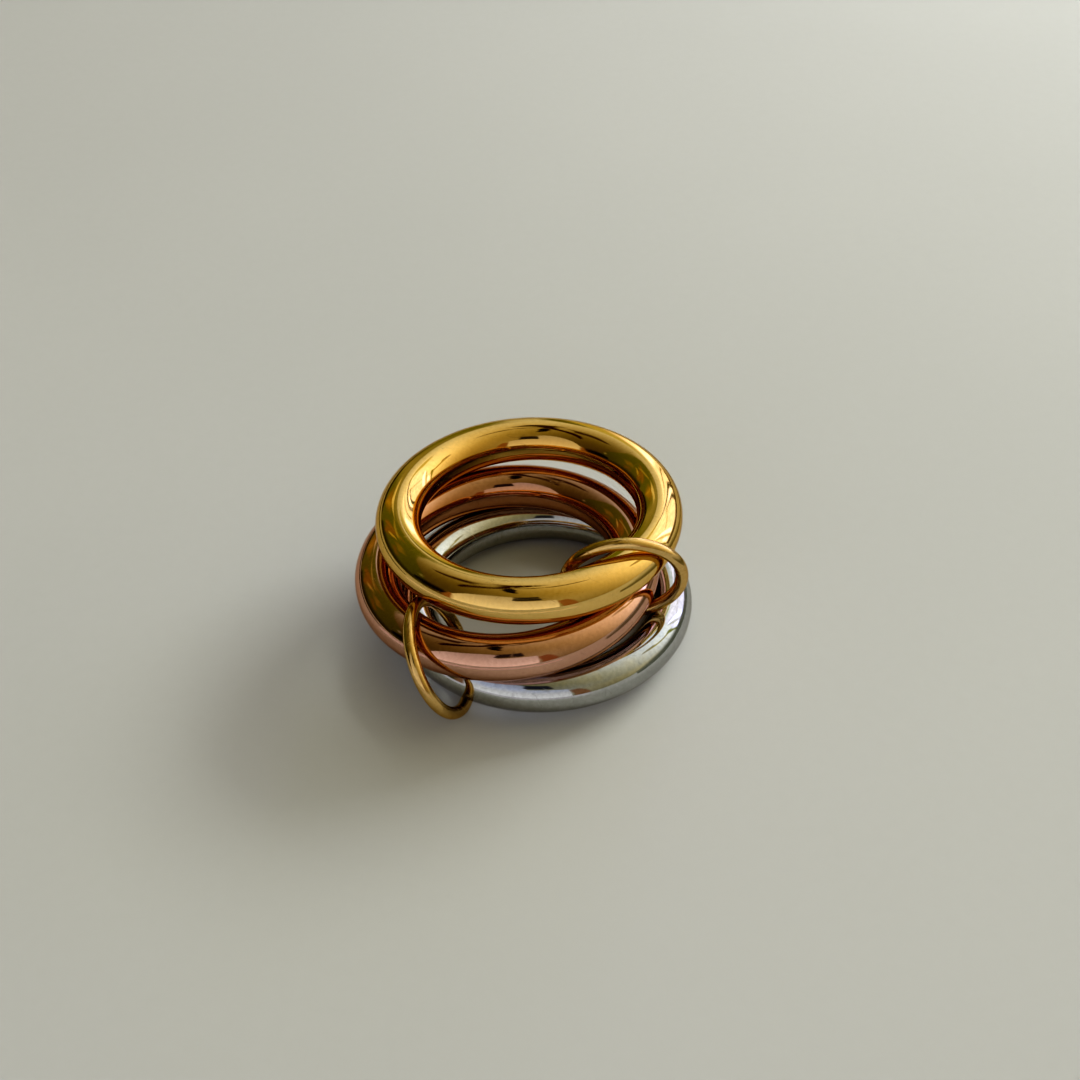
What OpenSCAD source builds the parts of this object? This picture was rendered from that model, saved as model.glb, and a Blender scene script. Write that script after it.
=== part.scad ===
// Rolling ring: three round bands stacked on one finger and joined by two small wire links.
// It lies by itself on a flat surface: each band rests on the one below where the two cross,
// and the whole stack is tipped up a little by the lower link, whose wire passes under it.

/* [Bands] */
// Inner diameter of a band, the size of the finger
finger_d = 17.35; // [16.5:0.05:18]
// Thickness of a band's round section
band_d = 3.65; // [3.4:0.05:3.75]
// Space kept where one band rests on the next
seat_gap = 0.1; // [0.1:0.01:0.2]

/* [Links] */
// Inner diameter of a link, enough for two bands side by side with some play
link_inner_d = 8.1; // [8:0.05:8.3]
// Thickness of a link's wire
wire_d = 1; // [0.6:0.05:1.05]

/* [Rose band on the silver band] */
// How far it has slid sideways
rose_slid = 2.75; // [2.5:0.05:2.9]
// The way it has slid, from +X round to +Y
rose_slid_to = 185; // [183:1:186]
// How far it tips down on that side
rose_tip = 2.3; // [2:0.1:2.4]

/* [Yellow band on the rose band] */
// How far it has slid sideways
yellow_slid = 2.8; // [2.7:0.05:3]
// The way it has slid, from +X round to +Y
yellow_slid_to = 45; // [43:1:47]
// How far it tips down on that side
yellow_tip = 1.8; // [1.6:0.1:2]

/* [Upper link, round the yellow and the rose band] */
// Where it is round the stack, from +X round to +Y
upper_link_round = -34.5; // [-35:0.5:-34]
// How far its middle is inside the line of the bands' tubes
upper_link_inside = 2.55; // [2.5:0.05:2.6]
// Height of its middle, counted in bands
upper_link_up = 1.6; // [1.59:0.01:1.61]
// Turn of its axis about the upright, from +Y
upper_link_turn = 2; // [1:1:4]
// How far its axis rises above level
upper_link_lean = 13; // [12:1:14]

/* [Lower link, round the rose and the silver band] */
// Where it is round the stack, from +X round to +Y
lower_link_round = -132.5; // [-133:0.5:-132]
// How far its middle is inside the line of the bands' tubes, below 0 for outside
lower_link_inside = -1.05; // [-1.1:0.05:-1]
// Height of its middle, counted in bands
lower_link_up = 0.45; // [0.44:0.01:0.46]
// Turn of its axis about the upright, from +Y
lower_link_turn = -96; // [-97:1:-95]
// How far its axis rises above level
lower_link_lean = 26; // [25:1:27]

/* [Rest on the surface] */
// How far the stack tips, with its front left corner up on the lower link's wire
rest_tip = 2.95; // [0:0.05:6]
// The side that goes down, from +X round to +Y
rest_tip_to = 70; // [0:1:359]

/* [Hidden] */
band_r = (finger_d + band_d) / 2;
link_r = (link_inner_d + wire_d) / 2;
pitch = band_d + seat_gap;
up = [0, 0, 1];
round_steps = 144;
section_steps = 48;

// A level direction at an angle from +X
function level(angle) = [cos(angle), sin(angle), 0];

// A vector turned about an axis of length 1
function turned(v, axis, angle) =
    v * cos(angle) + cross(axis, v) * sin(angle) + axis * (axis * v) * (1 - cos(angle));

// A vector tipped so that the side at that angle goes down
function tipped(v, toward, tip) = turned(v, cross(up, level(toward)), tip);

// A place is [centre, axis]. This one is carried along by a thing that is tipped and moved to a centre.
function carried(place, centre, toward, tip) =
    [centre + tipped(place[0], toward, tip), tipped(place[1], toward, tip)];

// A band slid on the one below rocks about the line through the two points where they cross,
// halfway between the two middles, so its height follows from the slide and the tip.
function resting(slid, toward, tip) =
    carried([level(toward) * slid / 2, up], level(toward) * slid / 2 + up * pitch, toward, tip);

// A link's middle is placed round the stack, and its axis is turned from +Y and raised
function linked(angle, inside, bands_up, turn, lean) =
    [level(angle) * (band_r - inside) + up * pitch * bands_up, level(turn + 90) * cos(lean) + up * sin(lean)];

// The places in the silver band's frame, before the stack is laid down
rose_on_silver = resting(rose_slid, rose_slid_to, rose_tip);
yellow_on_rose = resting(yellow_slid, yellow_slid_to, yellow_tip);
stacked = [
    carried(yellow_on_rose, rose_on_silver[0], rose_slid_to, rose_tip),
    rose_on_silver,
    [[0, 0, 0], up],
    linked(upper_link_round, upper_link_inside, upper_link_up, upper_link_turn, upper_link_lean),
    linked(lower_link_round, lower_link_inside, lower_link_up, lower_link_turn, lower_link_lean)
];
loop_rs = [band_r, band_r, band_r, link_r, link_r];
tube_rs = [band_d / 2, band_d / 2, band_d / 2, wire_d / 2, wire_d / 2];
laid = [for (place = stacked) carried(place, [0, 0, 0], rest_tip_to, rest_tip)];

// How far a loop reaches from its middle along X, Y or Z
function reach(i, along) = loop_rs[i] * sqrt(1 - pow(laid[i][1][along], 2)) + tube_rs[i];
function lowest(along) = min([for (i = [0 : len(laid) - 1]) laid[i][0][along] - reach(i, along)]);
function highest(along) = max([for (i = [0 : len(laid) - 1]) laid[i][0][along] + reach(i, along)]);

// The origin is on the surface, under the middle of all that is laid on it
origin = [(lowest(0) + highest(0)) / 2, (lowest(1) + highest(1)) / 2, lowest(2)];

// One closed loop of round section, the form of every piece
module loop(i) {
    axis = laid[i][1];
    translate(laid[i][0] - origin)
        rotate(a = acos(axis[2]), v = cross(up, axis))
            rotate_extrude($fn = round_steps)
                translate([loop_rs[i], 0])
                    circle(r = tube_rs[i], $fn = section_steps);
}

module yellow_band() {
    color([0.87, 0.7, 0.34]) loop(0);
}

module rose_band() {
    color([0.85, 0.6, 0.48]) loop(1);
}

module silver_band() {
    color([0.78, 0.79, 0.8]) loop(2);
}

module upper_link() {
    color([0.83, 0.65, 0.3]) loop(3);
}

module lower_link() {
    color([0.83, 0.65, 0.3]) loop(4);
}

yellow_band();
rose_band();
silver_band();
upper_link();
lower_link();
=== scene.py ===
# %% [markdown]
# A rolling ring is three round bands worn on one finger, held together by two small wire links.
# Its construction is already settled in CAD, so this lesson only dresses it. Each loop gets a smooth
# surface and the finish of its own metal, and then a small studio is set up for the metal to mirror.

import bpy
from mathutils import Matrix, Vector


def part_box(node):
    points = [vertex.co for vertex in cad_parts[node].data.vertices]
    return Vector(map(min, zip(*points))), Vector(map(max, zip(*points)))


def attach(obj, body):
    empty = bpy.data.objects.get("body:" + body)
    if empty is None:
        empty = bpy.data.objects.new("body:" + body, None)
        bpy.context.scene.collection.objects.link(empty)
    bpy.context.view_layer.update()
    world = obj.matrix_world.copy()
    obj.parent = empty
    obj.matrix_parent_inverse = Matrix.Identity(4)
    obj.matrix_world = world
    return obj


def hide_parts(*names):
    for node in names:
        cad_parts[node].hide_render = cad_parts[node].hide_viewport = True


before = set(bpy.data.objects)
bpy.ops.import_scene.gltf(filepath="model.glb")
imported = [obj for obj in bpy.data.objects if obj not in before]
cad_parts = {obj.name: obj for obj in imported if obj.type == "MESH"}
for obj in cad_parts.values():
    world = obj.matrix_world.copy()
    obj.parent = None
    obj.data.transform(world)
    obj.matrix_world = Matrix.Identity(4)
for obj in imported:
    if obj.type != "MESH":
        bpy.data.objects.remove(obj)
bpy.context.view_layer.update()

# %% [markdown]
# All five pieces are closed loops of round section. Where such a loop lies, which way it faces and how
# thick it is can be measured on its CAD mesh, so nothing is placed by eye. The middle of its box is its
# centre. The direction in which its points spread least is its axis, which a singular value
# decomposition finds. The nearest and the farthest point from the axis give both radii.

# %% Measure the loops
import numpy as np
from mathutils import Vector

METRE_IN_MM = 1000


def measured_loop(node_name):
    """Centre, axis, ring radius and tube radius of a CAD loop, in metres."""
    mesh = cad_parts[node_name].data
    points = np.array([vertex.co[:] for vertex in mesh.vertices])
    low, high = (np.array(corner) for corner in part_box(node_name))
    centre = (low + high) / 2
    offsets = points - centre
    axis = np.linalg.svd(offsets, full_matrices=False)[2][2]
    axis = axis * np.sign(axis[2])
    heights = offsets @ axis
    from_axis = np.linalg.norm(offsets - np.outer(heights, axis), axis=1)
    ring_radius = (from_axis.max() + from_axis.min()) / 2
    tube_radius = (from_axis.max() - from_axis.min()) / 2
    return Vector(centre), Vector(axis), float(ring_radius), float(tube_radius)


loops = {node_name: measured_loop(node_name) for node_name in sorted(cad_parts)}
for node_name, (centre, axis, ring_radius, tube_radius) in loops.items():
    radii = [round(radius * METRE_IN_MM, 3) for radius in (ring_radius, tube_radius)]
    print(node_name, "axis", [round(part, 3) for part in axis], "radii in mm", radii)

# %% [markdown]
# The camera stands as a hand-held one would, some 14 centimetres off and looking down at the ring
# at 43 degrees. Its place and its lens were worked out from the curves that the loops' edges draw
# in the picture. Three directions turn it: its right, its up, and the way it looks, which is at
# right angles to both.

# %% Set up the camera
import bpy
from mathutils import Matrix

SENSOR_MM = 36
LENS_MM = 55.34
CAMERA_PLACE = Vector((0.005921, -0.097651, 0.098659))
CAMERA_RIGHT = Vector((0.99918, 0.00963, -0.03935)).normalized()
CAMERA_ABOUT_UP = Vector((0.02236, 0.67879, 0.73399))

scene = bpy.context.scene
camera_back = CAMERA_RIGHT.cross(CAMERA_ABOUT_UP).normalized()
camera_up = camera_back.cross(CAMERA_RIGHT)
camera = bpy.data.objects.new("camera", bpy.data.cameras.new("camera"))
camera.data.sensor_width = SENSOR_MM
camera.data.lens = LENS_MM
camera.data.clip_start = 0.005
camera.data.clip_end = 10
turn = Matrix((CAMERA_RIGHT, camera_up, camera_back)).transposed().to_4x4()
camera.matrix_world = Matrix.Translation(CAMERA_PLACE) @ turn
scene.collection.objects.link(camera)
scene.camera = camera
print("camera is", round(CAMERA_PLACE.length * METRE_IN_MM), "mm from the ring")

# %% [markdown]
# A finish in Blender is a tree of nodes, and most of the nodes in it only do sums. To write those as
# ordinary sums, one small class wraps the output of a node. Each operator on it adds a Math node to
# the same tree. The forms with a number on the left are there too, so that 1 - mask works.

# %% Write shaders as sums


class Wire:
    """The output of a node. A sum with it adds a Math node, and the answer is a Wire again."""

    def __init__(self, socket):
        self.socket = socket
        self.tree = socket.id_data

    def sum(self, operation, *values):
        return node(self.tree, "ShaderNodeMath", {"operation": operation}, dict(enumerate(values)))

    def __add__(self, other):
        return self.sum("ADD", self, other)

    __radd__ = __add__

    def __mul__(self, other):
        return self.sum("MULTIPLY", self, other)

    __rmul__ = __mul__

    def __sub__(self, other):
        return self.sum("SUBTRACT", self, other)

    def __rsub__(self, other):
        return self.sum("SUBTRACT", other, self)

    def __truediv__(self, other):
        return self.sum("DIVIDE", self, other)

    def __rtruediv__(self, other):
        return self.sum("DIVIDE", other, self)

    def __pow__(self, other):
        return self.sum("POWER", self, other)

    def __rpow__(self, other):
        return self.sum("POWER", other, self)

    def __abs__(self):
        return self.sum("ABSOLUTE", self)


print("sums on the outputs of nodes are ready")

# %% [markdown]
# Every other node is made by one function, which takes the kind of node, its settings and what goes
# into its sockets. The settings come first, because some of them decide which sockets are in use.

# %% Make any other node


def pick(sockets, key):
    """A socket by its number, or by its name among those that are in use."""
    if isinstance(key, int):
        return sockets[key]
    return next(socket for socket in sockets if socket.enabled and socket.name == key)


def node(tree, kind, settings=None, sockets=None, output=0):
    """Adds a node, with its settings first and then its sockets, and gives one of its outputs."""
    made = tree.nodes.new(kind)
    for name, value in (settings or {}).items():
        setattr(made, name, value)
    for key, value in (sockets or {}).items():
        target = pick(made.inputs, key)
        if isinstance(value, Wire):
            tree.links.new(value.socket, target)
        else:
            target.default_value = value
    if not made.outputs:
        return None
    if output == 0:
        return Wire(next(socket for socket in made.outputs if socket.enabled))
    return Wire(pick(made.outputs, output))


def empty_material(name):
    """A new material and its tree, with no nodes in it yet."""
    material = bpy.data.materials.new(name)
    material.use_nodes = True
    material.node_tree.nodes.clear()
    return material, material.node_tree


print("nodes of any kind are ready")

# %% [markdown]
# A few patterns come back in every metal. Noise gives soft blotches, and a step that is not too
# sharp turns them into a mask. A Math node would turn a colour grey, so colours are mixed with a Mix
# node or scaled with a Vector Math node instead.

# %% Patterns


def step_up(value, start, end):
    """0 below start and 1 above end, with a soft passage between them."""
    sockets = {"Value": value, "From Min": start, "From Max": end}
    return node(value.tree, "ShaderNodeMapRange", {"interpolation_type": "SMOOTHSTEP"}, sockets)


def vector_of(x, y, z):
    return node(x.tree, "ShaderNodeCombineXYZ", None, {"X": x, "Y": y, "Z": z})


def noise(place, scale, detail=2, fourth=None):
    """Noise from 0 to 1. The scale is in features per unit of the place that is given."""
    settings = {"noise_dimensions": "3D" if fourth is None else "4D"}
    sockets = {"Vector": place, "Scale": scale, "Detail": detail}
    if fourth is not None:
        sockets["W"] = fourth
    return node(place.tree, "ShaderNodeTexNoise", settings, sockets, "Fac")


def blend_colours(factor, below, above):
    sockets = {"Factor": factor, "A": below, "B": above}
    return node(factor.tree, "ShaderNodeMix", {"data_type": "RGBA"}, sockets)


def scaled(vector, factor):
    """A vector or a colour, times a number. One of the two is a Wire."""
    tree = (factor if isinstance(factor, Wire) else vector).tree
    return node(tree, "ShaderNodeVectorMath", {"operation": "SCALE"}, {0: vector, "Scale": factor})


print("patterns are ready")

# %% [markdown]
# A mark on a loop should follow it, wherever it lies. Each piece's mesh stands in its final place, so
# its finish has to turn the coordinates back. A Mapping node of the kind TEXTURE undoes a move and a
# turn, and after it the loop lies flat round the Z axis. Millimetres are handier than metres for
# marks as small as a hair. The direction round the loop and the direction round its tube are each
# given as a cosine and a sine, so no pattern made from them has a seam.

# %% Find the way round a loop


def turn_onto(axis):
    """The rotation that stands a flat loop's axis, along Z, up along another axis."""
    return Vector((0, 0, 1)).rotation_difference(axis)


def place_on_loop(tree, centre, axis):
    """A point's place in millimetres, as if the loop lay flat round the Z axis."""
    metres = node(tree, "ShaderNodeTexCoord", None, None, "Object")
    lying = {"Vector": metres, "Location": centre, "Rotation": turn_onto(axis).to_euler()}
    return scaled(node(tree, "ShaderNodeMapping", {"vector_type": "TEXTURE"}, lying), METRE_IN_MM)


def directions_on(place, ring_radius, tube_radius):
    """Cosine and sine round the loop, and cosine and sine round its tube."""
    def part(name):
        return node(place.tree, "ShaderNodeSeparateXYZ", None, {0: place}, name)

    x, y, z = part("X"), part("Y"), part("Z")
    from_axis = (x * x + y * y) ** 0.5
    return x / from_axis, y / from_axis, (from_axis - ring_radius) / tube_radius, z / tube_radius


print("places on a loop are ready")

# %% [markdown]
# Wear draws hairlines on a polished ring. Long faint ones run round the loop, where the bands roll on
# each other: noise that changes fast across the tube and slowly along it gives those. Short stray
# ones cross them. A stray is the place where a slow noise passes its middle, which is a thin curved
# line, and a second noise breaks that line up. The slow noise is stretched in three different ways.

# %% Hairlines
ROLLED_ACROSS = 26
ROLLED_ALONG = 2.2
STRAY_WIDTH = 0.0125
STRAYS = (
    # turn, stretch, shift of the pattern
    ((0.3, 0.9, 0.4), (0.22, 0.9, 0.22), 0),
    ((1.1, 0.2, 1.9), (0.3, 1.2, 0.3), 7),
    ((2.0, 1.3, 0.6), (0.18, 1.0, 0.2), 13),
)


def rolled_hairlines(directions, seed):
    """Long fine lines that run round the loop."""
    round_cos, round_sin, tube_cos, tube_sin = directions
    fine = vector_of(tube_cos * ROLLED_ACROSS, tube_sin * ROLLED_ACROSS, round_cos * ROLLED_ALONG)
    return step_up(noise(fine, 1, 3, round_sin * ROLLED_ALONG + seed), 0.60, 0.78)


def stray_hairlines(place, seed):
    """Thin curved scratches, each of them short."""
    strays = 0
    for turned, stretch, shift in STRAYS:
        start = seed + shift
        shape = {"Location": (start, 0.5 * start, 0), "Rotation": turned, "Scale": stretch}
        turned_place = node(place.tree, "ShaderNodeMapping", None, {"Vector": place, **shape})
        line = 1 - step_up(abs(noise(turned_place, 1, 1) - 0.5), 0.0, STRAY_WIDTH)
        where = step_up(noise(turned_place, 1.7, 1), 0.59, 0.66)
        strays = strays + line * where
    return strays


print("hairlines are ready")

# %% [markdown]
# Fingers leave soft smudges a few millimetres wide, and a few specks of dust settle. The specks are
# the middles of cells, and a number that each cell has by chance keeps only one cell in five. Close
# up, a worn polish is also mottled, with blotches some three tenths of a millimetre wide.

# %% Smudges, dust and mottling


def smudges(place):
    return step_up(noise(place, 0.28, 4), 0.46, 0.70)


def dust(place):
    """1 on a speck and 0 beside it."""
    cell = {"Vector": place, "Scale": 0.8}
    to_speck = node(place.tree, "ShaderNodeTexVoronoi", None, cell, "Distance")
    cell_colour = node(place.tree, "ShaderNodeTexVoronoi", None, cell, "Color")
    cell_number = node(place.tree, "ShaderNodeSeparateColor", None, {"Color": cell_colour}, "Red")
    return (1 - step_up(to_speck, 0.02, 0.05)) * step_up(cell_number, 0.80, 0.82)


def mottling(place):
    return step_up(noise(place, 3.3, 5), 0.36, 0.64)


print("smudges, dust and mottling are ready")

# %% [markdown]
# The bands are steel all through. Two of them are plated, one in yellow and one in rose gold, and the
# third shows the bare steel, which reflects about half of the light. Gold reflects most of the red
# light and little of the blue, and the copper in rose gold takes away part of the green. Each metal
# has a deeper tone for the colour to drift to, and a darker one for the inner side, which is painted
# shade inside the ring's hole. At a grazing angle a clean metal turns pale, and the tint for the edge
# holds that back for a worn one. The links are thin wire, which is harder to buff, so they are hazier.
# The mottling is weakest on the hard plating and strongest on the bare steel.

# %% The metals
METALS = {
    "yellow_gold": {
        "tone": (0.765, 0.50, 0.165, 1), "deep": (0.71, 0.45, 0.135, 1), "inside": (0.69, 0.405, 0.11, 1),
        "edge": (0.72, 0.58, 0.42, 1), "wear": 1.0, "haze": 0.06, "mottle": 0.05,
    },
    "rose_gold": {
        "tone": (0.60, 0.34, 0.243, 1), "deep": (0.545, 0.30, 0.21, 1), "inside": (0.50, 0.23, 0.115, 1),
        "edge": (0.72, 0.55, 0.45, 1), "wear": 1.0, "haze": 0.06, "mottle": 0.07,
    },
    "white_steel": {
        "tone": (0.475, 0.482, 0.475, 1), "deep": (0.44, 0.446, 0.44, 1), "inside": (0.39, 0.39, 0.38, 1),
        "edge": (0.72, 0.70, 0.68, 1), "wear": 1.0, "haze": 0.06, "mottle": 0.11,
    },
    "link_gold": {
        "tone": (0.66, 0.44, 0.17, 1), "deep": (0.56, 0.35, 0.125, 1), "inside": (0.56, 0.35, 0.125, 1),
        "edge": (0.72, 0.58, 0.42, 1), "wear": 1.3, "haze": 0.13, "mottle": 0.08,
    },
}
metal_of = {
    "yellow_band": "yellow_gold",
    "rose_band": "rose_gold",
    "silver_band": "white_steel",
    "upper_link": "link_gold",
    "lower_link": "link_gold",
}
print(len(METALS), "metals for", len(metal_of), "loops")

# %% [markdown]
# The bare steel gets a painted reflection and painted shade along its front right side. It is painted
# bluer on top, where it would meet the light, and darker grey underneath. A direction round the band
# says where it is, and a noise makes it uneven.

# %% The painted reflection and shade on the steel's side
import math

PAINTED_PATCH_METAL = "white_steel"
PAINTED_PATCH_TOWARD = math.radians(-75)
PAINTED_SHEEN_ABOVE = (0.385, 0.425, 0.53, 1)
PAINTED_SHADE_BELOW = (0.355, 0.36, 0.35, 1)


def with_painted_patch(colour, place, directions):
    """The colour with a painted reflection on top and painted shade underneath, on one side of the loop."""
    round_cos, round_sin, tube_cos, tube_sin = directions
    facing = round_cos * math.cos(PAINTED_PATCH_TOWARD) + round_sin * math.sin(PAINTED_PATCH_TOWARD)
    painted_patch = step_up(facing, 0.55, 0.85) * (noise(place, 1.1, 4) * 1.6 + 0.15)
    colour = blend_colours(painted_patch * step_up(tube_sin, 0.50, 0.68), colour, PAINTED_SHEEN_ABOVE)
    return blend_colours(painted_patch * (1 - step_up(tube_sin, 0.18, 0.34)), colour, PAINTED_SHADE_BELOW)


print("cloud is ready for", PAINTED_PATCH_METAL)

# %% [markdown]
# Polished metal is a mirror, but never a perfect one. The buffing wheel leaves the surface very
# slightly wavy, so that straight reflections swim a little. The waves and the marks go mostly into
# the roughness and the bump, and only a little into the colour, because the colour of a metal comes
# from the metal itself. Every loop has a seed of its own, so that no two carry the same marks.

# %% Polish the metals
# What each kind of mark adds to the roughness
GRAIN_BLUR = 0.05
SMUDGE_BLUR = 0.07
ROLLED_BLUR = 0.10
STRAY_BLUR = 0.16
SPECK_BLUR = 0.4
# Heights and depths in millimetres
LONG_WAVE = 0.0022
SHORT_WAVE = 0.0006
ROLLED_DEPTH = 0.00010
STRAY_DEPTH = 0.00025
SPECK_HEIGHT = 0.004
# How far a mark changes the colour
SMUDGE_SHARE = 0.10
STRAY_SHADE = 0.12
SPECK_SHARE = 0.8
DUST_COLOUR = (0.42, 0.40, 0.36, 1)
FIRST_SEED = 3.7
SEED_STEP = 5.3


def polished(name, metal_name, loop, seed):
    """A polished metal for one loop. Its patterns follow the loop, wherever that lies."""
    metal = METALS[metal_name]
    wear, mottle = metal["wear"], metal["mottle"]
    centre, axis, ring_radius, tube_radius = loop
    material, tree = empty_material(name)
    place = place_on_loop(tree, centre, axis)
    directions = directions_on(place, ring_radius * METRE_IN_MM, tube_radius * METRE_IN_MM)
    shifted = node(tree, "ShaderNodeVectorMath", {"operation": "ADD"}, {0: place, 1: (seed, seed, seed)})
    rolled = rolled_hairlines(directions, seed)
    strays = stray_hairlines(place, seed)
    smudge = smudges(shifted)
    speck = dust(shifted)
    grain = noise(shifted, 3.5, 3)

    drift = noise(shifted, 0.16, 2) * 0.6 + grain * 0.4
    towards_axis = 0 - directions[2]
    colour = blend_colours(step_up(drift, 0.38, 0.62), metal["deep"], metal["tone"])
    colour = blend_colours(smudge * SMUDGE_SHARE, colour, metal["deep"])
    # Painted shade: the side that faces into the ring's hole is given a darker tone
    colour = blend_colours(step_up(towards_axis, 0.55, 0.9), colour, metal["inside"])
    # Painted reflection on top and painted shade underneath, on the steel's front right side
    if metal_name == PAINTED_PATCH_METAL:
        colour = with_painted_patch(colour, shifted, directions)
    colour = scaled(colour, 1 + mottle / 2 - mottling(shifted) * mottle - strays * STRAY_SHADE)
    colour = blend_colours(speck * SPECK_SHARE, colour, DUST_COLOUR)

    marks = smudge * SMUDGE_BLUR + rolled * ROLLED_BLUR + strays * STRAY_BLUR
    roughness = metal["haze"] + (grain - 0.5) * GRAIN_BLUR + marks * wear + speck * SPECK_BLUR

    waves = noise(shifted, 0.55, 1) * LONG_WAVE + noise(shifted, 1.9, 2) * SHORT_WAVE
    cuts = rolled * (ROLLED_DEPTH * wear) + strays * (STRAY_DEPTH * wear)
    height = waves - cuts + speck * SPECK_HEIGHT
    bump = {"Height": height, "Distance": 1 / METRE_IN_MM, "Strength": 1.0}
    relief = node(tree, "ShaderNodeBump", None, bump)

    surface = {"Base Color": colour, "Metallic": 1 - speck, "Roughness": roughness, "Normal": relief}
    surface["Specular Tint"] = metal["edge"]
    shader = node(tree, "ShaderNodeBsdfPrincipled", None, surface)
    node(tree, "ShaderNodeOutputMaterial", None, {"Surface": shader})
    print(name, "has", len(tree.nodes), "nodes")
    return material


finishes = {}
for count, (node_name, metal_name) in enumerate(metal_of.items()):
    seed = FIRST_SEED + SEED_STEP * count
    finishes[node_name] = polished(node_name + "_polish", metal_name, loops[node_name], seed)

# %% [markdown]
# On the real ring each band is turned from a tube and buffed, and each link is a round wire that is
# bent and soldered shut. The CAD mesh has the right shape, but a mirror shows every facet, so each
# loop is swept again with far more steps. A circle is carried round the axis, and neighbouring
# circles are joined with faces. The UV map cuts the loop into equal lengths that lie beside each
# other.

# %% Sweep a loop
import bmesh

UV_MARGIN = 0.01


def swept_loop(name, ring_radius, tube_radius, round_steps, tube_steps, lengths):
    """A closed tube round the Z axis, smooth shaded, with a UV map cut into a number of lengths."""
    mesh = bmesh.new()
    rings = []
    for i in range(round_steps):
        angle = 2 * math.pi * i / round_steps
        ring = []
        for j in range(tube_steps):
            tilt = 2 * math.pi * j / tube_steps
            reach = ring_radius + tube_radius * math.cos(tilt)
            height = tube_radius * math.sin(tilt)
            ring.append(mesh.verts.new((reach * math.cos(angle), reach * math.sin(angle), height)))
        rings.append(ring)
    uv = mesh.loops.layers.uv.new("OFBake")
    steps_in_length = round_steps // lengths
    for i in range(round_steps):
        for j in range(tube_steps):
            there, next_ring = rings[i], rings[(i + 1) % round_steps]
            k = (j + 1) % tube_steps
            face = mesh.faces.new((there[j], next_ring[j], next_ring[k], there[k]))
            face.smooth = True
            length, along = divmod(i, steps_in_length)
            for corner, (di, dj) in zip(face.loops, ((0, 0), (1, 0), (1, 1), (0, 1))):
                u = (along + di) / steps_in_length
                v = (j + dj) / tube_steps
                v = (length + UV_MARGIN + v * (1 - 2 * UV_MARGIN)) / lengths
                corner[uv].uv = (UV_MARGIN + u * (1 - 2 * UV_MARGIN), v)
    data = bpy.data.meshes.new(name)
    mesh.to_mesh(data)
    mesh.free()
    return bpy.data.objects.new(name, data)


print("loops can be swept")

# %% [markdown]
# A swept loop lies flat round the Z axis. The turn and the move to its place go into the mesh itself
# and not into the object, so its box is measured exactly, and the finish turns the same move back.
# The loop then stands in for its CAD node and rides on the body that the node belongs to.

# %% Dress a CAD node


def dressed_loop(node_name, round_steps, tube_steps, lengths):
    """The polished loop that stands for a CAD node, in the node's place and riding on its body."""
    centre, axis, ring_radius, tube_radius = loops[node_name]
    piece = swept_loop(node_name + "_polished", ring_radius, tube_radius, round_steps, tube_steps, lengths)
    scene.collection.objects.link(piece)
    piece.data.materials.append(finishes[node_name])
    piece.data.transform(Matrix.Translation(centre) @ turn_onto(axis).to_matrix().to_4x4())
    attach(piece, node_name)
    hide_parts(node_name)
    print(piece.name, "has", len(piece.data.polygons), "faces")


# %% [markdown]
# The three bands are turned to one size and differ only in their metal. They are the big mirrors, so
# they get the most steps, one for every sixth of a millimetre of the way round.

# %% The three bands
for band in ("silver_band", "rose_band", "yellow_band"):
    dressed_loop(band, round_steps=384, tube_steps=96, lengths=2)

# %% [markdown]
# Each link is a piece of round wire, bent into a circle round two bands and closed there. It is small
# and needs fewer steps. Its wire is long for its thickness, so its UV map is cut into three lengths.

# %% The two links
for link in ("upper_link", "lower_link"):
    dressed_loop(link, round_steps=252, tube_steps=48, lengths=3)

# %% [markdown]
# The ring lies on a pale and quite matt surface, like unglazed clay. A gloss would add a second
# picture of the ring and of every card in the studio, and the ring's own shadow is all that it needs
# to sit firmly. A little mottling keeps the surface from looking like paper. It lies a hundredth of a
# millimetre low, so that it never falls in one plane with the lowest point of the ring.

# %% The floor
FLOOR_HALF = 1.5
FLOOR_DROP = 0.00001
FLOOR_DARKER = (0.532, 0.556, 0.612, 1)
FLOOR_PALER = (0.562, 0.586, 0.645, 1)
FLOOR_RELIEF = 0.00002

floor_mesh = bmesh.new()
bmesh.ops.create_grid(floor_mesh, x_segments=24, y_segments=24, size=FLOOR_HALF)
floor_data = bpy.data.meshes.new("floor")
floor_mesh.to_mesh(floor_data)
floor_mesh.free()
floor = bpy.data.objects.new("floor", floor_data)
scene.collection.objects.link(floor)
floor.location.z = -FLOOR_DROP

clay, clay_tree = empty_material("pale_clay")
floor_place = node(clay_tree, "ShaderNodeTexCoord", None, None, "Object")
patches = noise(floor_place, 9, 3) * 0.85 + noise(floor_place, 900, 2) * 0.15
clay_colour = blend_colours(step_up(patches, 0.3, 0.7), FLOOR_DARKER, FLOOR_PALER)
clay_bump = {"Height": noise(floor_place, 260, 2), "Distance": FLOOR_RELIEF, "Strength": 1.0}
clay_relief = node(clay_tree, "ShaderNodeBump", None, clay_bump)
clay_surface = {"Base Color": clay_colour, "Roughness": 0.5, "Specular IOR Level": 0, "Normal": clay_relief}
clay_shader = node(clay_tree, "ShaderNodeBsdfPrincipled", None, clay_surface)
node(clay_tree, "ShaderNodeOutputMaterial", None, {"Surface": clay_shader})
floor_data.materials.append(clay)
print("floor is", 2 * FLOOR_HALF, "m wide")

# %% [markdown]
# Nearly all that a polished ring shows is its surroundings, so the light is built as carefully as
# the ring. The room itself is a few soft glows, each brightest in one direction and weaker all
# round it. The dot product of two directions and an exponential give just that. Directions are
# written as a compass angle, where 0 is straight away from the camera and 90 is to the right, and
# a height above the horizon. The broad glow is warm and the one in its middle cool, as daylight is
# that comes partly from walls and partly from the sky. The camera itself sees a plain pale backdrop.

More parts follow.
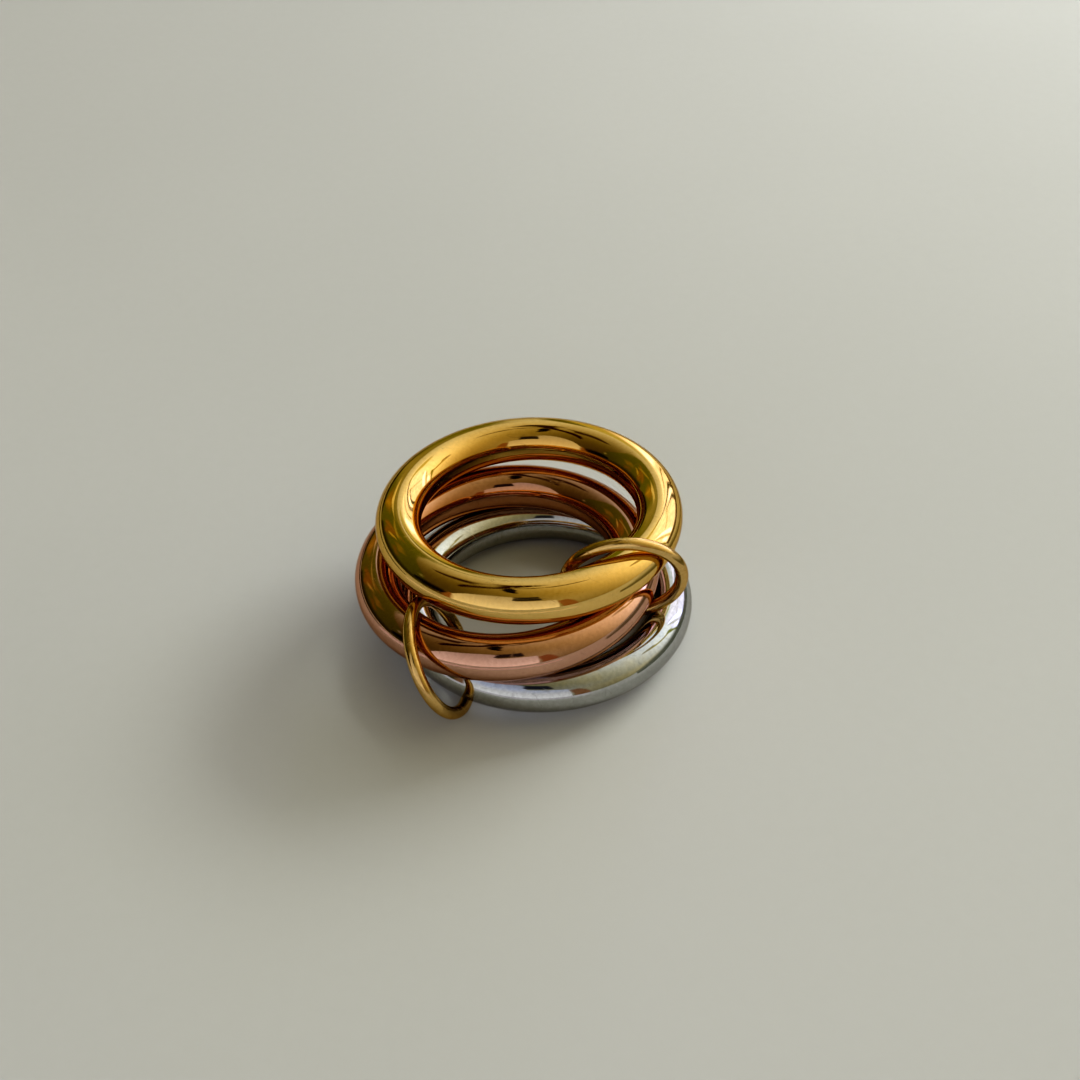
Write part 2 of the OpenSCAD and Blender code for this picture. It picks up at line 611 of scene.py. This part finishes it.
# %% The room's soft glow
BASE_LIGHT = (0.062, 0.053, 0.012)
ROOM_GLOWS = (
    # compass, height, tightness, light
    (54, 24, 3.1, (2.00, 1.42, 0.13)),
    (45, 18, 3.9, (0.05, 0.78, 2.10)),
    (166, 20, 5.6, (0.26, 0.25, 0.21)),
    (120, 72, 3.0, (0.075, 0.055, 0.012)),
)
BACKDROP = (0.62, 0.62, 0.57, 1)


def direction(compass, height):
    """A direction of length 1 from a compass angle and a height, both in degrees."""
    turned, raised = math.radians(compass), math.radians(height)
    level = math.cos(raised)
    return Vector((math.sin(turned) * level, math.cos(turned) * level, math.sin(raised)))


room = bpy.data.worlds.new("studio_room")
scene.world = room
room.use_nodes = True
room_tree = room.node_tree
room_tree.nodes.clear()
way = node(room_tree, "ShaderNodeTexCoord", None, None, "Generated")
room_colour = node(room_tree, "ShaderNodeCombineXYZ", None, dict(enumerate(BASE_LIGHT)))
for compass, height, tightness, light in ROOM_GLOWS:
    pair = {0: way, 1: direction(compass, height)}
    likeness = node(room_tree, "ShaderNodeVectorMath", {"operation": "DOT_PRODUCT"}, pair, "Value")
    glow = scaled(light, likeness.sum("EXPONENT", (likeness - 1) * tightness))
    pair = {0: room_colour, 1: glow}
    room_colour = node(room_tree, "ShaderNodeVectorMath", {"operation": "ADD"}, pair)
room_light = node(room_tree, "ShaderNodeBackground", None, {"Color": room_colour})
pale_backdrop = node(room_tree, "ShaderNodeBackground", None, {"Color": BACKDROP, "Strength": 1.0})
seen_directly = node(room_tree, "ShaderNodeLightPath", None, None, "Is Camera Ray")
either = {0: seen_directly, 1: room_light, 2: pale_backdrop}
room_shader = node(room_tree, "ShaderNodeMixShader", None, either)
node(room_tree, "ShaderNodeOutputWorld", None, {"Surface": room_shader})
print("room has", len(room_tree.nodes), "nodes")

# %% [markdown]
# In front of the glow stand cards, as they would in a studio for small things. The camera doesn't
# see the cards themselves, only what they do to the metal. A card may pass from one light to another
# from side to side or upwards. Its edge can be soft: a number at each corner, 1 inside and 0 outside,
# tells the shader how much of the card is there. The cloth of a softbox hangs in folds, so a ripple
# of noise can make a card's light uneven. Rays are aimed only at the brighter cards. The metal finds
# a dim one all the same, and leaving it out saves time.

# %% Make a light for the stage
WORTH_AIMING_AT = 0.6
CLOTH_FOLDS = (18, 18, 3)


def stage_light(name, corners, faces, fades, light, other_light, along, ripple=0):
    """A card of light that only reflections show, with its strength at each corner."""
    data = bpy.data.meshes.new(name)
    data.from_pydata(corners, [], faces)
    data.attributes.new("fade", "FLOAT", "POINT").data.foreach_set("value", fades)
    panel = bpy.data.objects.new(name, data)
    scene.collection.objects.link(panel)
    panel.visible_camera = False
    material, tree = empty_material(name)
    if max(light) < WORTH_AIMING_AT:
        material.cycles.emission_sampling = "NONE"
    place = node(tree, "ShaderNodeTexCoord", None, None, "Generated")
    share = node(tree, "ShaderNodeSeparateXYZ", None, {0: place}, along)
    colour = blend_colours(share, (*light, 1), (*(other_light or light), 1))
    if ripple:
        folds = node(tree, "ShaderNodeMapping", None, {"Vector": place, "Scale": CLOTH_FOLDS})
        colour = scaled(colour, 1 - ripple / 2 + noise(folds, 1, 4) * ripple)
    shine = node(tree, "ShaderNodeEmission", None, {"Color": colour})
    clear = node(tree, "ShaderNodeBsdfTransparent")
    fade = node(tree, "ShaderNodeAttribute", {"attribute_name": "fade"}, None, "Fac")
    shader = node(tree, "ShaderNodeMixShader", None, {0: fade, 1: clear, 2: shine})
    node(tree, "ShaderNodeOutputMaterial", None, {"Surface": shader})
    data.materials.append(material)
    return panel


def only_for_mirrors(panel):
    """Keeps a card from lighting or shading the floor."""
    panel.visible_diffuse = False
    panel.visible_shadow = False


print("stage lights are ready")

# %% [markdown]
# A mirror shows the outline of a card exactly, so each card is drawn as an outline in compass and
# height. A strip is drawn as a line of points, each with a width, so that it can bend and taper. Most
# strips are given as rows of a table, which keeps the studio easy to read and to change.

# %% Make cards and strips


def card(name, far, outline, light, other_light=None, along="Z", edge=0.02, ripple=0):
    """A flat card that faces the ring. Its outline is in compass and height."""
    middle = [sum(corner[k] for corner in outline) / len(outline) for k in (0, 1)]
    count = len(outline)
    ways = []
    for size in (1 - edge, 1 + edge):
        for corner in outline:
            ways.append(direction(*(m + (c - m) * size for c, m in zip(corner, middle))))
    facing = sum(ways, Vector((0, 0, 0))).normalized()
    corners = [way * (far / way.dot(facing)) for way in ways]
    faces = [list(range(count))]
    faces += [(i, (i + 1) % count, (i + 1) % count + count, i + count) for i in range(count)]
    fades = [1] * count + [0] * count
    return stage_light(name, corners, faces, fades, light, other_light, along, ripple)


def strip(name, far, line, light, other_light=None, edge=0.3):
    """A curved strip. Each point of its line is a compass angle, a height and a width, in degrees."""
    corners = []
    for i, (compass, height, width) in enumerate(line):
        before, after = line[max(i - 1, 0)], line[min(i + 1, len(line) - 1)]
        narrow = math.cos(math.radians(height))
        run = Vector(((after[0] - before[0]) * narrow, after[1] - before[1])).normalized()
        for step in (-1 - edge, -1 + edge, 1 - edge, 1 + edge):
            aside = step * width / 2
            corners.append(direction(compass - run.y * aside / narrow, height + run.x * aside) * far)
    faces = []
    for i in range(len(line) - 1):
        for k in range(3):
            faces.append((4 * i + k, 4 * i + k + 1, 4 * i + k + 5, 4 * i + k + 4))
    return stage_light(name, corners, faces, [0, 1, 1, 0] * len(line), light, other_light, "Z")


def strips(table):
    """A strip for each row of a table: its name, distance, softness of the edge, light and line."""
    return [strip(name, far, line, light, edge=edge) for name, far, edge, light, line in table]


print("cards and strips are ready")

# %% [markdown]
# The softbox stands at the right and behind. Its cloth isn't equally bright: it is coolest where the
# sky is behind it and yellower at the top. Four brighter pieces of cloth hang just in front of it.

# %% The softbox
SOFTBOX_FAR = 0.42
CLOTH_FAR = 0.41
SOFTBOX_LOW = (2.1, 2.02, 2.6)
SOFTBOX_HIGH = (1.95, 1.86, 2.0)
COOL_CLOTH = (3.4, 3.5, 5.4)
softbox_outline = (
    (6, 0.3), (8, 22), (13, 32), (21, 38), (31, 42), (42, 43),
    (52, 39), (61, 32), (68, 24), (72, 14), (72, 0.3),
)
card("softbox", SOFTBOX_FAR, softbox_outline, SOFTBOX_LOW, SOFTBOX_HIGH, ripple=1.4)
cloths = strips((
    ("cloth_right", CLOTH_FAR, 0.3, COOL_CLOTH,
     ((53.5, 38, 1), (55.5, 32, 3), (58.5, 23, 3.2), (60, 14, 4.5), (60, 6, 3))),
    ("cloth_left", CLOTH_FAR, 0.3, COOL_CLOTH,
     ((13, 24, 2), (15, 17, 5), (17, 9, 6), (17, 3, 5))),
    ("cloth_low", CLOTH_FAR, 0.3, COOL_CLOTH,
     ((32, 24, 1), (32.5, 16, 3), (33.5, 8, 2.5), (34, 3, 1))),
    ("cloth_far_right", CLOTH_FAR, 0.3, COOL_CLOTH,
     ((66, 22, 1), (67.5, 15, 3.5), (67.5, 9, 3))),
))
print("softbox has", len(cloths), "pieces of cloth in front")

# %% [markdown]
# Bars cross the softbox like those of a window, some dark and the others grey or olive. They give the
# metal something with an edge to draw out into long curves.

# %% The bars before the softbox
BAR_FAR = 0.40
BAR_NEAR = 0.395
DARK_BAR = (0.09, 0.09, 0.035)
bars = strips((
    ("bar_slanted", BAR_FAR, 0.3, DARK_BAR,
     ((21, 40, 1.6), (24.5, 35, 1.8), (27, 29, 1.8), (28.4, 22, 2.2), (29.4, 14, 2.8), (30.6, 8, 3),
      (32.5, 1, 3.4))),
    ("bar_upright", BAR_FAR, 0.3, DARK_BAR,
     ((32.5, 32, 0.9), (34, 24, 1.2), (35, 17, 1.8), (36.6, 9, 2.8), (39, 2, 3.4))),
    ("bar_level", BAR_FAR, 0.3, (1.02, 0.95, 0.60),
     ((28, 31, 1.2), (36, 29.3, 1.6), (46, 27.5, 1.6), (55, 26.5, 1.4))),
    ("bar_thin_left", BAR_FAR, 0.3, (0.5, 0.48, 0.25),
     ((17.5, 36, 0.9), (20.5, 27, 1.1), (22.3, 16, 1.3), (23.6, 4, 1.3))),
    ("bar_grey_right", BAR_FAR, 0.3, (1.2, 1.12, 0.9),
     ((56, 37, 1), (60, 31, 2), (63, 24, 2.5), (63.6, 14, 2.2), (64, 5, 2))),
    ("bar_right", BAR_FAR, 0.3, (0.44, 0.44, 0.08),
     ((69, 30, 3), (71, 25, 4.5), (72, 20, 3), (71.8, 12, 2), (71.8, 3, 2))),
    ("bar_far_right", BAR_FAR, 0.3, (0.72, 0.56, 0.11),
     ((72, 26, 4), (76, 29, 4), (80, 35, 4), (81.5, 40, 5))),
    ("bar_knob_right", BAR_NEAR, 0.6, (0.48, 0.36, 0.13),
     ((78, 38, 1), (80, 41, 6), (82, 45, 5), (82, 47, 1))),
    ("bar_knob_top", BAR_NEAR, 0.5, (0.80, 0.72, 0.18),
     ((19, 38, 1), (21.5, 43, 4), (26, 48, 8), (27, 51, 1))),
    ("bar_left", BAR_FAR, 0.5, (0.66, 0.64, 0.26),
     ((3, 33, 3), (5, 25, 7), (5.5, 15, 8), (5, 1, 8))),
    ("bar_left_edge", BAR_NEAR, 0.5, (0.15, 0.16, 0.02),
     ((0.5, 32, 1), (1, 22, 3), (1, 10, 3.4), (1, 1, 2.5))),
))
print("softbox has", len(bars), "bars")

# %% [markdown]
# A white card in front of the ring throws light back at the camera's side. It is brightest at its foot.
# The lens itself is black, and shows as a small dark mark in the middle of each band.

# %% The cards in front
BOUNCE_FAR = 0.45
BOUNCE_EDGE_FAR = 0.44
LENS_FAR = 0.15
BOUNCE_FOOT = (1.17, 1.16, 1.17)
BOUNCE_TOP = (0.51, 0.50, 0.50)
AMBER = (0.285, 0.14, 0.07)
LENS_BLACK = (0.036, 0.034, 0.036)
bounce_outline = (
    (160, 0.3), (160, 35), (171, 39), (191, 40), (192, 55), (201, 58),
    (212, 57), (222, 51), (230.5, 41), (235, 22), (235, 0.3),
)
lens_outline = ((169.5, 42), (193, 42.5), (194, 57), (172, 58))
card("bounce_card", BOUNCE_FAR, bounce_outline, BOUNCE_FOOT, BOUNCE_TOP, edge=0.01)
bounce_edges = strips((
    ("bounce_edge_right", BOUNCE_EDGE_FAR, 0.1, AMBER,
     ((156.5, 30, 6), (154.5, 20, 9), (153, 8, 10), (153, 0.4, 10))),
    ("bounce_edge_left", BOUNCE_EDGE_FAR, 0.5, AMBER,
     ((236.5, 24, 2), (235.5, 17, 4.5), (235.5, 8, 7), (235.5, 0.4, 7))),
))
card("lens_shade", LENS_FAR, lens_outline, LENS_BLACK, edge=0.04)
print("bounce card has", len(bounce_edges), "amber edges")

# %% [markdown]
# The left side of the room is dark, so that the bands have something to turn from bright to black
# against. A high arm and its joint cross the light from above. All of these are for the mirrors only:
# if they also shaded the floor, it would show a line where they end.

# %% The dark side
FLAG_FAR = 0.46
FLAG_NEAR = 0.45
FOOT_FAR = 0.44
NEAR_BLACK = (0.006, 0.004, 0.002)
DIM_AMBER = (0.09, 0.06, 0.015)
FLAG_LEFT = (0.018, 0.022, 0.003)
FLAG_RIGHT = (0.23, 0.265, 0.025)
arch_outline = (
    (250, 0.3), (254, 20), (262, 27), (270, 36), (283, 42), (300, 46),
    (320, 47.5), (338, 45), (349, 40), (356, 33), (354, 0.3),
)
only_for_mirrors(card("side_flag", FLAG_FAR, arch_outline, FLAG_LEFT, FLAG_RIGHT, along="Y"))
dark_strips = strips((
    ("flag_edge", FLAG_NEAR, 0.8, (0.34, 0.32, 0.13),
     ((338, 8, 5), (343, 20, 9), (348, 31, 10), (352, 36, 5))),
    ("corner_flag", FLAG_NEAR, 0.6, NEAR_BLACK,
     ((239, 13, 8), (245, 15, 15), (252, 15, 15), (259, 14, 12), (265, 13, 6))),
    ("left_glint", FOOT_FAR, 0.6, (0.24, 0.25, 0.18),
     ((263, 25, 1.5), (265.5, 29, 3), (267, 32, 1))),
    ("foot_flag", FOOT_FAR, 0.4, NEAR_BLACK,
     ((316, 1, 4), (324, 2, 9), (334, 3, 11), (343, 1, 8))),
    ("foot_shade", FOOT_FAR, 0.8, (0.030, 0.032, 0.005),
     ((262, 5, 6), (276, 6, 12), (296, 6, 13), (312, 5, 10))),
    ("arm_left", FLAG_FAR, 0.3, (0.020, 0.006, 0.002),
     ((255, 57, 1.5), (262, 62, 4), (270, 66.5, 6), (280, 70.8, 6), (300, 75, 5), (320, 75.6, 4.5),
      (335, 73.5, 5), (347, 68, 6), (356, 61, 4))),
    ("arm_joint", FLAG_FAR, 0.6, (0.035, 0.018, 0.005),
     ((308, 55, 4), (313, 61, 10), (318, 68, 12))),
    ("arm_top", FLAG_NEAR, 0.2, NEAR_BLACK,
     ((205, 76, 2), (225, 79, 4), (262, 82, 5), (300, 81.5, 5), (318, 79.5, 3), (328, 78, 1))),
    ("arm_back", FLAG_FAR, 0.3, DIM_AMBER,
     ((335, 78, 2), (0, 79, 4), (30, 78.5, 4), (52, 74, 3), (62, 70, 1))),
    ("arm_gap", FLAG_FAR, 0.5, DIM_AMBER,
     ((346, 59, 1), (350, 65, 8), (358, 71, 5))),
))
for dark_strip in dark_strips:
    only_for_mirrors(dark_strip)
print("dark side has", len(dark_strips), "strips")

# %% [markdown]
# Warm lamps hang far off in the dark. In the left sides of the bands they show as small slanted
# flecks of amber, which tell the eye that the dark parts are a mirror too. Two of the lamps have a
# brighter core, so those are two strips each.

# %% Warm lamps in the dark
LAMP_FAR = 0.44
CORE_FAR = 0.436
lamps = strips((
    ("lamp_a", LAMP_FAR, 0.8, (0.17, 0.12, 0.012), ((286, 13, 1), (291, 20, 7), (298, 27, 2))),
    ("lamp_b", LAMP_FAR, 0.7, (0.23, 0.18, 0.03), ((294, 28, 1), (300, 33, 8), (309, 38, 3))),
    ("lamp_c", LAMP_FAR, 0.7, (0.24, 0.14, 0.012),
     ((306, 10, 1), (309.5, 20, 6), (314, 28, 7), (321, 35, 3))),
    ("lamp_c_bright", CORE_FAR, 0.5, (0.55, 0.42, 0.11), ((308.5, 22, 1), (310.5, 28, 2.4), (314, 35, 1))),
    ("lamp_d", 0.438, 0.6, (0.26, 0.16, 0.012), ((314, 16, 1), (318, 27, 4), (325, 37, 3), (333, 41, 1))),
    ("lamp_e", LAMP_FAR, 0.6, (0.36, 0.23, 0.02),
     ((323, 9, 1), (326.5, 17, 6), (332, 25, 7), (338, 31, 2))),
    ("lamp_e_bright", CORE_FAR, 0.5, (0.55, 0.38, 0.05), ((324.5, 13, 0.6), (328, 21, 1.6), (333, 28, 1))),
    ("lamp_f", 0.435, 0.7, (0.42, 0.36, 0.10), ((320, 37, 1), (328, 36, 3), (337, 35, 1))),
    ("lamp_g", 0.43, 0.7, (1.05, 0.92, 0.48), ((336, 28, 1), (341, 31, 6), (346, 31, 1))),
))
for lamp in lamps:
    only_for_mirrors(lamp)
print("dark side has", len(lamps), "strips of lamplight")

# %% [markdown]
# Two helpers work on one kind of surface only. Low cards stand close round the ring and give the
# lowest band its edges, and only mirrors see them. A lamp on the softbox's side brightens the floor
# and deepens the ring's shadow, and only matt surfaces see that one.

# %% The low cards and the lamp for the floor
FLOOR_LAMP_FAR = 0.385
FLOOR_LAMP_LIGHT = (18.9, 18.8, 15.1)
low_right_line = (
    (2, 0, 3), (12, 0, 5), (30, 0, 7), (60, 0, 8), (76, 2.5, 13), (90, 4, 17), (113, 4, 15), (124, 3, 9),
)
low_far_line = ((28, 2, 6), (40, 3, 8), (60, 3.5, 9), (74, 3.5, 10))
low_left_line = ((264, 0, 3), (272, 0, 6), (300, 0, 7), (330, 0, 7), (350, 0, 6))
low_front_line = ((150, 1, 4), (180, 1.5, 5), (210, 1.5, 5), (240, 1.5, 6), (256, 1.5, 6), (263, 1, 3))
low_cards = [
    strip("low_card_right", 0.032, low_right_line, (0.22, 0.235, 0.20), (0.125, 0.12, 0.06), edge=0.5),
    strip("low_card_far", 0.12, low_far_line, (0.16, 0.13, 0.08), edge=0.2),
    strip("low_card_left", 0.06, low_left_line, (0.022, 0.026, 0.006), edge=0.3),
    strip("low_card_front", 0.042, low_front_line, (0.74, 0.70, 0.74), edge=0.4),
]
for low_card in low_cards:
    only_for_mirrors(low_card)
lamp_outline = ((34, 22), (34, 34.5), (68, 34.5), (68, 22))
floor_lamp = card("floor_lamp", FLOOR_LAMP_FAR, lamp_outline, FLOOR_LAMP_LIGHT)
floor_lamp.visible_glossy = False
print("ring has", len(low_cards), "low cards round it")

# %% [markdown]
# The picture is shown with the plain display curve, because the softer film-like curve would turn
# bright gold into a pale straw colour. Only the darkest tones are bent down a little, along the curve
# x * x / (x + toe), as a camera does that holds on to deep shadows.

TOE = 0.026
TOE_POINTS = (0.01, 0.03, 0.07, 0.15, 0.35)
ALL_CHANNELS = 3

scene.view_settings.view_transform = "Standard"
scene.view_settings.look = "None"
scene.view_settings.use_curve_mapping = True
mapping = scene.view_settings.curve_mapping
for light in TOE_POINTS:
    mapping.curves[ALL_CHANNELS].points.new(light, light ** 2 / (light + TOE))
mapping.curves[ALL_CHANNELS].points[-1].location = (1, 1 / (1 + TOE))
mapping.update()
